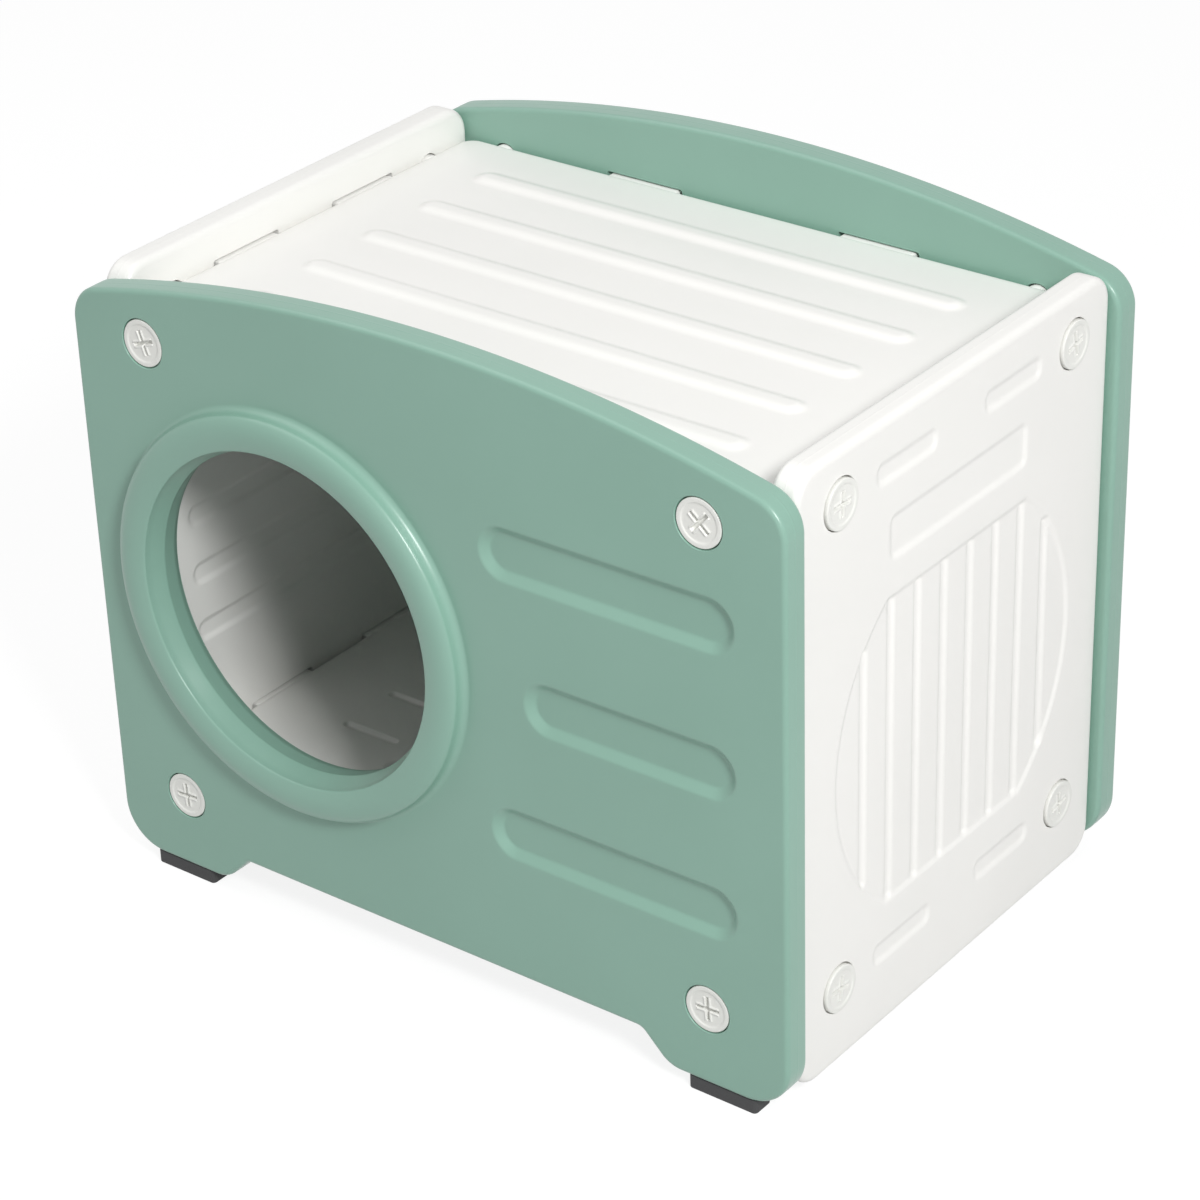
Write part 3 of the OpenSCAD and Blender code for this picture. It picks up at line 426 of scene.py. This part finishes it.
def side_panel(seed):
    shell, parts = Shell(), box_parts(SIDE_W, SIDE_H, SIDE_R, SIDE_MID, n=14)
    grooves = []
    for x in GROOVE_PITCH * (np.arange(8) - 3.5):
        reach = min(FIELD_H, math.sqrt(FIELD_R ** 2 - x * x)) - GROOVE_IN
        grooves.append(((x, FIELD_Z), 2 * reach))
    trays = [((0, LONG_Z), LONG_L, LONG_H, SLOT_R)]
    trays += [(c, SHORT_L, SHORT_H, SLOT_R) for c in joint_places(SIDE_TONGUES)]
    inner = [(0, INNER_Z + k * INNER_PITCH) for k in range(-2, 3)]

    def top(x, y):
        z = waves(x, y, seed)
        field = np.minimum(FIELD_R - np.hypot(x, y - FIELD_Z), FIELD_H - np.abs(y - FIELD_Z))
        z = z - FIELD_D * wall(field, FIELD_WALL, FIELD_SOFT)
        for c, l in grooves:
            z = z - GROOVE_D * wall(capsule_in(x, y, c, l, GROOVE_W, True), GROOVE_WALL, GROOVE_SOFT)
        for tray in trays:
            z = z - SLOT_D * wall(tray_in(x, y, *tray), SLOT_WALL, SLOT_SOFT)
        return z

    def bottom(x, y):
        z = -waves(x, y, seed + 3)
        for c in inner:
            z = z + INNER_D * wall(capsule_in(x, y, c, INNER_L, INNER_H), SLOT_WALL, INNER_SOFT)
        return z

    rim_out, rim_in = rim_tube(shell, parts, SIDE_T, SIDE_ROUND, top, bottom)
    out_holes, in_holes, out_points, in_points = joint_tubes(
        shell, SIDE_T, SIDE_POCKET, SIDE_SCREWS, SIDE_TONGUES, top, bottom)
    for c, l in grooves:
        out_points.append(capsule_points(c, l, GROOVE_W, rows(GROOVE_WALL, GROOVE_SOFT, 9)[1:], True, 12))
    for d in rows(FIELD_WALL, FIELD_SOFT, 8):
        r, h = FIELD_R - d, FIELD_H - d
        reach = math.degrees(math.asin(h / r))
        a = np.radians(np.linspace(-reach, reach, 64))
        xs = np.linspace(-r * cos(reach), r * cos(reach), 28)
        for s in (-1, 1):
            out_points.append(np.column_stack([s * r * np.cos(a), FIELD_Z + r * np.sin(a)]))
            out_points.append(np.column_stack([xs, FIELD_Z + s * h + 0 * xs]))
    for tray in trays:
        out_points.append(tray_points(*tray, rows(SLOT_WALL, SLOT_SOFT, 10)))
    for c in inner:
        in_points.append(capsule_points(c, INNER_L, INNER_H, rows(SLOT_WALL, INNER_SOFT)))
    for points in (out_points, in_points):
        points.append(np.vstack([outline(parts, SIDE_ROUND + g) for g in ALONG_RIM]))
    shell.face(rim_out, out_holes, out_points, lambda x, y: SIDE_T + top(x, y))
    shell.face(rim_in, in_holes, in_points, bottom)
    return shell


def deck_panel(seed):
    """A roof or floor with its inner face up, about its middle."""
    shell, parts = Shell(), box_parts(DECK_W, DECK_DEPTH, DECK_R, n=12)
    half = DECK_T / 2
    ribs = [(0, (i - 2) * RIB_PITCH) for i in range(5)]
    drains = [((i - 1.5) * DRAIN_X, (j - 1.5) * DRAIN_Y) for i in range(4) for j in range(4)]
    dimples = [(sx * DIMPLE_X / 2, sy * DIMPLE_Y / 2) for sx in (-1, 1) for sy in (-1, 1)]

    def top(x, y):
        z = waves(x, y, seed + 2)
        for c in drains:
            z = z - DRAIN_D * wall(capsule_in(x, y, c, DRAIN_L, DRAIN_W), DRAIN_WALL, DRAIN_SOFT)
        for c in dimples:
            z = z - DIMPLE_D * wall(DIMPLE_R - np.hypot(x - c[0], y - c[1]), DIMPLE_D, DIMPLE_SOFT)
        return z

    def bottom(x, y):
        z = -waves(x, y, seed)
        for c in ribs:
            z = z - RIB_H * wall(capsule_in(x, y, c, RIB_L, RIB_W), RIB_WALL, RIB_SOFT)
        return z

    rim_out, rim_in = rim_tube(shell, parts, DECK_T, DECK_ROUND, top, bottom)
    steps = rows(DRAIN_WALL, DRAIN_SOFT, 7)[1:]
    out_points = [capsule_points(c, DRAIN_L, DRAIN_W, steps, n=10) for c in drains]
    radii = [DIMPLE_R - d for d in rows(DIMPLE_D, DIMPLE_SOFT)]
    out_points += [ring_points(c, radii, 32) for c in dimples]
    in_points = [capsule_points(c, RIB_L, RIB_W, rows(RIB_WALL, RIB_SOFT)) for c in ribs]
    for points in (out_points, in_points):
        points.append(np.vstack([outline(parts, DECK_ROUND + g) for g in ALONG_RIM]))
    shell.face(rim_out, [], out_points, lambda x, y: DECK_T + top(x, y))
    shell.face(rim_in, [], in_points, bottom)
    for v in shell.v:
        v[:, 2] -= half
    tongue = box_parts(TONGUE_L, TONGUE_H, TONGUE_R, n=5)
    for turn in (0, 90, 180, 270):
        c, s = round(cos(turn)), round(sin(turn))
        edge, screws, tongues = ((DECK_DEPTH / 2, END_SCREWS, END_TONGUES) if turn % 180 == 0
                                 else (DECK_W / 2, SIDE_SCREWS, SIDE_TONGUES))
        reach = edge + JOINT_GAP + KEY_D

        def turned(across, y, z):
            y = np.full(len(across), y)
            return np.column_stack([c * across - s * y, s * across + c * y, z])

        inner = edge - DECK_ROUND
        boss = [(BOSS_R - KEY_START, inner - KEY_START), (BOSS_R, inner)]
        boss += [(BOSS_R - BOSS_EDGE * (1 - cos(a)), reach - BOSS_EDGE + BOSS_EDGE * sin(a))
                 for a in np.linspace(0, 90, 5)]
        for x in (-screws / 2, screws / 2):
            loops = [turned(x + p[:, 0], y, p[:, 1]) for p, y in [(circle((0, 0), r), y) for r, y in boss]]
            shell.tube(loops)
            shell.lid(loops[0])
            shell.lid(loops[-1])
        key = [(0.6, inner - KEY_START), (0, inner), (0, reach - KEY_EDGE), (0.18, reach - 0.6),
               (0.6, reach - 0.18), (KEY_EDGE, reach)]
        for x in (-tongues / 2, tongues / 2):
            loops = [turned(x + p[:, 0], y, p[:, 1]) for p, y in [(outline(tongue, e), y) for e, y in key]]
            shell.tube(loops)
            shell.lid(loops[0])
            shell.lid(loops[-1])
    return shell


def screw_shell():
    """Head with a shallow dish, a cross slot and its four ribs, and a shank with thread rings."""
    shell = Shell()

    def box_in(x, y, x0, x1, y0, y1):
        return np.minimum(np.minimum(x - x0, x1 - x), np.minimum(y - y0, y1 - y))

    def top(x, y):
        ax, ay = np.abs(x), np.abs(y)
        low, rib = CROSS_W - 0.1, CROSS_W + CROSS_RIB
        slot = np.maximum(box_in(ax, ay, -99, CROSS_L, -99, CROSS_W),
                          box_in(ax, ay, -99, CROSS_W, -99, CROSS_L))
        ribs = np.maximum(box_in(ax, ay, low, CROSS_L, low, rib), box_in(ax, ay, low, rib, low, CROSS_L))
        z = HEAD_H - DISH_D * wall(HEAD_R - HEAD_RIM - np.hypot(x, y), DISH_WALL, 0.35)
        return z + DISH_D * wall(ribs, 0.3, 0.14) - CROSS_D * wall(slot, 0.25, 0.12)

    steps = np.array([-0.11, 0, 0.11])
    lines = np.concatenate([
        [0, 0.45, 0.8], CROSS_W + steps, [0.97, 1.45, 1.9, 2.3], CROSS_W + CROSS_RIB + steps,
        [2.44, 3.1, 3.9, 5.2, 6.6, 7.9], CROSS_L + 1.1 * steps, [CROSS_L - 0.26, CROSS_L + 0.35]])
    lines = np.unique(np.concatenate([-lines, lines]))
    gx, gy = np.meshgrid(lines, lines)
    cross = np.column_stack([gx.ravel(), gy.ravel()])
    cross = cross[np.abs(cross).min(1) < CROSS_W + CROSS_RIB + 0.5]
    rim = circle((0, 0), HEAD_R - HEAD_EDGE, 64)
    dish = list(HEAD_R - HEAD_RIM + 0.35 - np.linspace(0, 1.6, 6))
    radii = [HEAD_R - 1.3, HEAD_R - 2.1] + dish + [10.6]
    shell.face(rim, [], [cross, ring_points((0, 0), radii, 64)], top, FINE_HEAD)
    profile = quarter(HEAD_R, HEAD_H, -HEAD_EDGE, -1)
    profile += [(HEAD_R, 0.4), (HEAD_R - 0.4, 0), (THREAD_R, 0), (NECK_R, -2.2)]
    for i in range(5, -1, -1):
        profile += [(r, (i + k) * THREAD_PITCH - SHANK_L)
                    for r, k in ((NECK_R, 1), (THREAD_R, 0.75), (NECK_R, 0.5))]
    profile += [(TIP_R, -SHANK_L)]
    loops = [at(circle((0, 0), r, 64), z) for r, z in profile]
    shell.tube(loops)
    shell.lid(loops[-1])
    return shell


def plastic(name, light, dark, rough, grain=0.1, depth=0.0001):
    """Smooth moulded plastic: a slight mottle, an uneven gloss, a fine grain and soft sinks."""
    mat = bpy.data.materials.new(name)
    mat.use_nodes = True
    tree = mat.node_tree
    shader = tree.nodes["Principled BSDF"]
    coords = tree.nodes.new("ShaderNodeTexCoord")

    def noise(scale, detail):
        node = tree.nodes.new("ShaderNodeTexNoise")
        node.inputs["Scale"].default_value = scale
        node.inputs["Detail"].default_value = detail
        tree.links.new(coords.outputs["Object"], node.inputs["Vector"])
        return node

    ramp = tree.nodes.new("ShaderNodeValToRGB")
    ramp.color_ramp.elements[0].position = 0.3
    ramp.color_ramp.elements[0].color = (*dark, 1)
    ramp.color_ramp.elements[1].position = 0.7
    ramp.color_ramp.elements[1].color = (*light, 1)
    tree.links.new(noise(7, 4).outputs["Fac"], ramp.inputs["Fac"])
    tree.links.new(ramp.outputs["Color"], shader.inputs["Base Color"])
    span = tree.nodes.new("ShaderNodeMapRange")
    span.inputs["To Min"].default_value = rough - 0.04
    span.inputs["To Max"].default_value = rough + 0.06
    tree.links.new(noise(38, 3).outputs["Fac"], span.inputs["Value"])
    tree.links.new(span.outputs["Result"], shader.inputs["Roughness"])
    bump = tree.nodes.new("ShaderNodeBump")
    bump.inputs["Strength"].default_value = grain
    bump.inputs["Distance"].default_value = depth
    tree.links.new(noise(1500, 2).outputs["Fac"], bump.inputs["Height"])
    broad = tree.nodes.new("ShaderNodeBump")
    broad.inputs["Strength"].default_value = 0.2
    broad.inputs["Distance"].default_value = 0.0002
    tree.links.new(noise(55, 2).outputs["Fac"], broad.inputs["Height"])
    tree.links.new(bump.outputs["Normal"], broad.inputs["Normal"])
    tree.links.new(broad.outputs["Normal"], shader.inputs["Normal"])
    shader.inputs["IOR"].default_value = 1.5
    return mat


green = plastic("sage_green_plastic", (0.252, 0.432, 0.352), (0.237, 0.410, 0.332), 0.3)
white = plastic("white_plastic", (0.9, 0.892, 0.865), (0.872, 0.866, 0.838), 0.34)
screw_white = plastic("screw_plastic", (0.83, 0.832, 0.795), (0.80, 0.802, 0.765), 0.38)
rubber = plastic("black_rubber", (0.06, 0.06, 0.062), (0.045, 0.045, 0.047), 0.7, 0.3, 0.0002)


def place(x, y, z, *angles):
    m = Matrix.Translation(Vector((x, y, z)) * 0.001)
    for axis, angle in angles:
        m = m @ Matrix.Rotation(math.radians(angle), 4, axis)
    return m


FRONT = place(0, MID_Y - CABIN_D / 2, BASE_Z, ("X", 90))
REAR = place(0, MID_Y + CABIN_D / 2, BASE_Z, ("Z", 180), ("X", 90))
RIGHT = place(CABIN_W / 2, MID_Y, BASE_Z, ("Z", 90), ("X", 90))
LEFT = place(-CABIN_W / 2, MID_Y, BASE_Z, ("Z", -90), ("X", 90))
ROOF = place(0, MID_Y, BASE_Z + DECK_PITCH, ("X", 180))
FLOOR = place(0, MID_Y, BASE_Z)


def piece(node, data, material, slot, matrix=None):
    obj = bpy.data.objects.new("moulded_" + node, data)
    bpy.context.scene.collection.objects.link(obj)
    if not data.materials:
        data.materials.append(material)
    if matrix is not None:
        obj.matrix_world = matrix
    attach(obj, "root")
    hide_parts(node)


for node, shell, matrix, material, slot in (
    ("front_panel", end_panel(True), FRONT, green, "green_plastic"),
    ("rear_panel", end_panel(False), REAR, green, "green_plastic"),
    ("right_panel", side_panel(0.7), RIGHT, white, "white_plastic"),
    ("left_panel", side_panel(2.6), LEFT, white, "white_plastic"),
    ("roof_panel", deck_panel(0.4), ROOF, white, "white_plastic"),
    ("floor_panel", deck_panel(3.3), FLOOR, white, "white_plastic"),
):
    piece(node, shell.mesh(node, matrix), material, slot)

# Each screw: its side on the wall, 0 for the floor's row and 1 for the roof's, and the turn of its cross
screw = screw_shell().mesh("screw")
for word, wall_at, depth, pitch, screws in (
    ("front", FRONT, END_T - END_POCKET, END_SCREWS, {
        "upper_left": (-1, 1, 20), "upper_right": (1, 1, 48),
        "lower_left": (-1, 0, 4), "lower_right": (1, 0, 3)}),
    ("rear", REAR, END_T - END_POCKET, END_SCREWS, {
        "upper_left": (1, 1, 25), "upper_right": (-1, 1, 40),
        "lower_left": (1, 0, 60), "lower_right": (-1, 0, 12)}),
    ("left", LEFT, SIDE_T - SIDE_POCKET, SIDE_SCREWS, {
        "upper_front": (1, 1, 33), "upper_rear": (-1, 1, 8),
        "lower_front": (1, 0, 71), "lower_rear": (-1, 0, 50)}),
    ("right", RIGHT, SIDE_T - SIDE_POCKET, SIDE_SCREWS, {
        "upper_front": (-1, 1, 88), "upper_rear": (1, 1, 12),
        "lower_front": (-1, 0, 82), "lower_rear": (1, 0, 8)}),
):
    for spot, (side, row, turn) in screws.items():
        seat = place(side * pitch / 2, row * DECK_PITCH, depth, ("Z", turn))
        piece(f"{word}_screw_{spot}", screw, screw_white, "screw_plastic", wall_at @ seat)

for node in ("foot_front_left", "foot_front_right", "foot_rear_left", "foot_rear_right"):
    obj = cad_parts[node]
    obj.data.materials.clear()
    obj.data.materials.append(rubber)


def seen_by_eye(tree):
    """1 for what the camera sees directly, in a gloss or through glass, 0 for light on the object."""
    ray = tree.nodes.new("ShaderNodeLightPath")
    last = ray.outputs["Is Camera Ray"]
    for name in ("Is Glossy Ray", "Is Transmission Ray"):
        both = tree.nodes.new("ShaderNodeMath")
        both.operation = "ADD"
        both.use_clamp = True
        tree.links.new(last, both.inputs[0])
        tree.links.new(ray.outputs[name], both.inputs[1])
        last = both.outputs[0]
    return last


floor_data = bpy.data.meshes.new("studio_floor")
floor_data.from_pydata([(-9, -9, 0), (9, -9, 0), (9, 9, 0), (-9, 9, 0)], [], [(0, 1, 2, 3)])
floor = bpy.data.objects.new("studio_floor", floor_data)
bpy.context.scene.collection.objects.link(floor)
paper = bpy.data.materials.new("studio_paper")
paper.use_nodes = True
tree = paper.node_tree
matt = tree.nodes["Principled BSDF"]
matt.inputs["Base Color"].default_value = (0.57, 0.57, 0.57, 1)
matt.inputs["Roughness"].default_value = 0.9
matt.inputs["Specular IOR Level"].default_value = 0.1
glow = tree.nodes.new("ShaderNodeEmission")
glow.inputs["Strength"].default_value = 0.86
thin = tree.nodes.new("ShaderNodeBsdfDiffuse")
thin.inputs["Color"].default_value = (0.2, 0.2, 0.2, 1)
pale = tree.nodes.new("ShaderNodeAddShader")
tree.links.new(glow.outputs["Emission"], pale.inputs[0])
tree.links.new(thin.outputs["BSDF"], pale.inputs[1])
mix = tree.nodes.new("ShaderNodeMixShader")
tree.links.new(seen_by_eye(tree), mix.inputs["Fac"])
tree.links.new(matt.outputs["BSDF"], mix.inputs[1])
tree.links.new(pale.outputs["Shader"], mix.inputs[2])
tree.links.new(mix.outputs["Shader"], tree.nodes["Material Output"].inputs["Surface"])
floor_data.materials.append(paper)

world = bpy.data.worlds.new("studio")
bpy.context.scene.world = world
world.use_nodes = True
tree = world.node_tree
sky = tree.nodes["Background"]
sky.inputs["Color"].default_value = (1, 1, 1, 1)
strength = tree.nodes.new("ShaderNodeMapRange")
strength.inputs["To Min"].default_value = 0.36
strength.inputs["To Max"].default_value = 1.0
tree.links.new(seen_by_eye(tree), strength.inputs["Value"])
tree.links.new(strength.outputs["Result"], sky.inputs["Strength"])


def lamp(name, location, target, size, power):
    data = bpy.data.lights.new(name, "AREA")
    data.shape = "RECTANGLE"
    data.size, data.size_y = size
    data.energy = power
    obj = bpy.data.objects.new(name, data)
    bpy.context.scene.collection.objects.link(obj)
    obj.location = location
    obj.rotation_euler = (Vector(target) - Vector(location)).to_track_quat("-Z", "Y").to_euler()


lamp("key", (2.2, -1.36, 2.15), (0, 0, 0.25), (0.6, 0.6), 71)
lamp("overhead", (-1.1, -0.5, 2.4), (0, 0, 0.3), (2.0, 2.0), 17)
lamp("front", (0.3, -2.4, 0.55), (0, 0, 0.3), (1.4, 0.9), 1.5)

camera_data = bpy.data.cameras.new("camera")
camera = bpy.data.objects.new("camera", camera_data)
bpy.context.scene.collection.objects.link(camera)
camera_data.sensor_width = 36
camera_data.lens = 109.89
camera_data.clip_end = 50
AZIMUTH, ELEVATION, ROLL = 38.140, 29.018, -1.891
back = Vector((sin(AZIMUTH) * cos(ELEVATION), -cos(AZIMUTH) * cos(ELEVATION), sin(ELEVATION)))
side = (-back).cross(Vector((0, 0, 1))).normalized()
up = side.cross(-back)
turned_side = cos(ROLL) * side + sin(ROLL) * up
turned_up = cos(ROLL) * up - sin(ROLL) * side
axes = Matrix((turned_side, turned_up, back)).transposed()
camera.matrix_world = Matrix.Translation((1.29715, -1.65716, 1.36495)) @ axes.to_4x4()
bpy.context.scene.camera = camera
bpy.context.scene.view_settings.view_transform = "Standard"
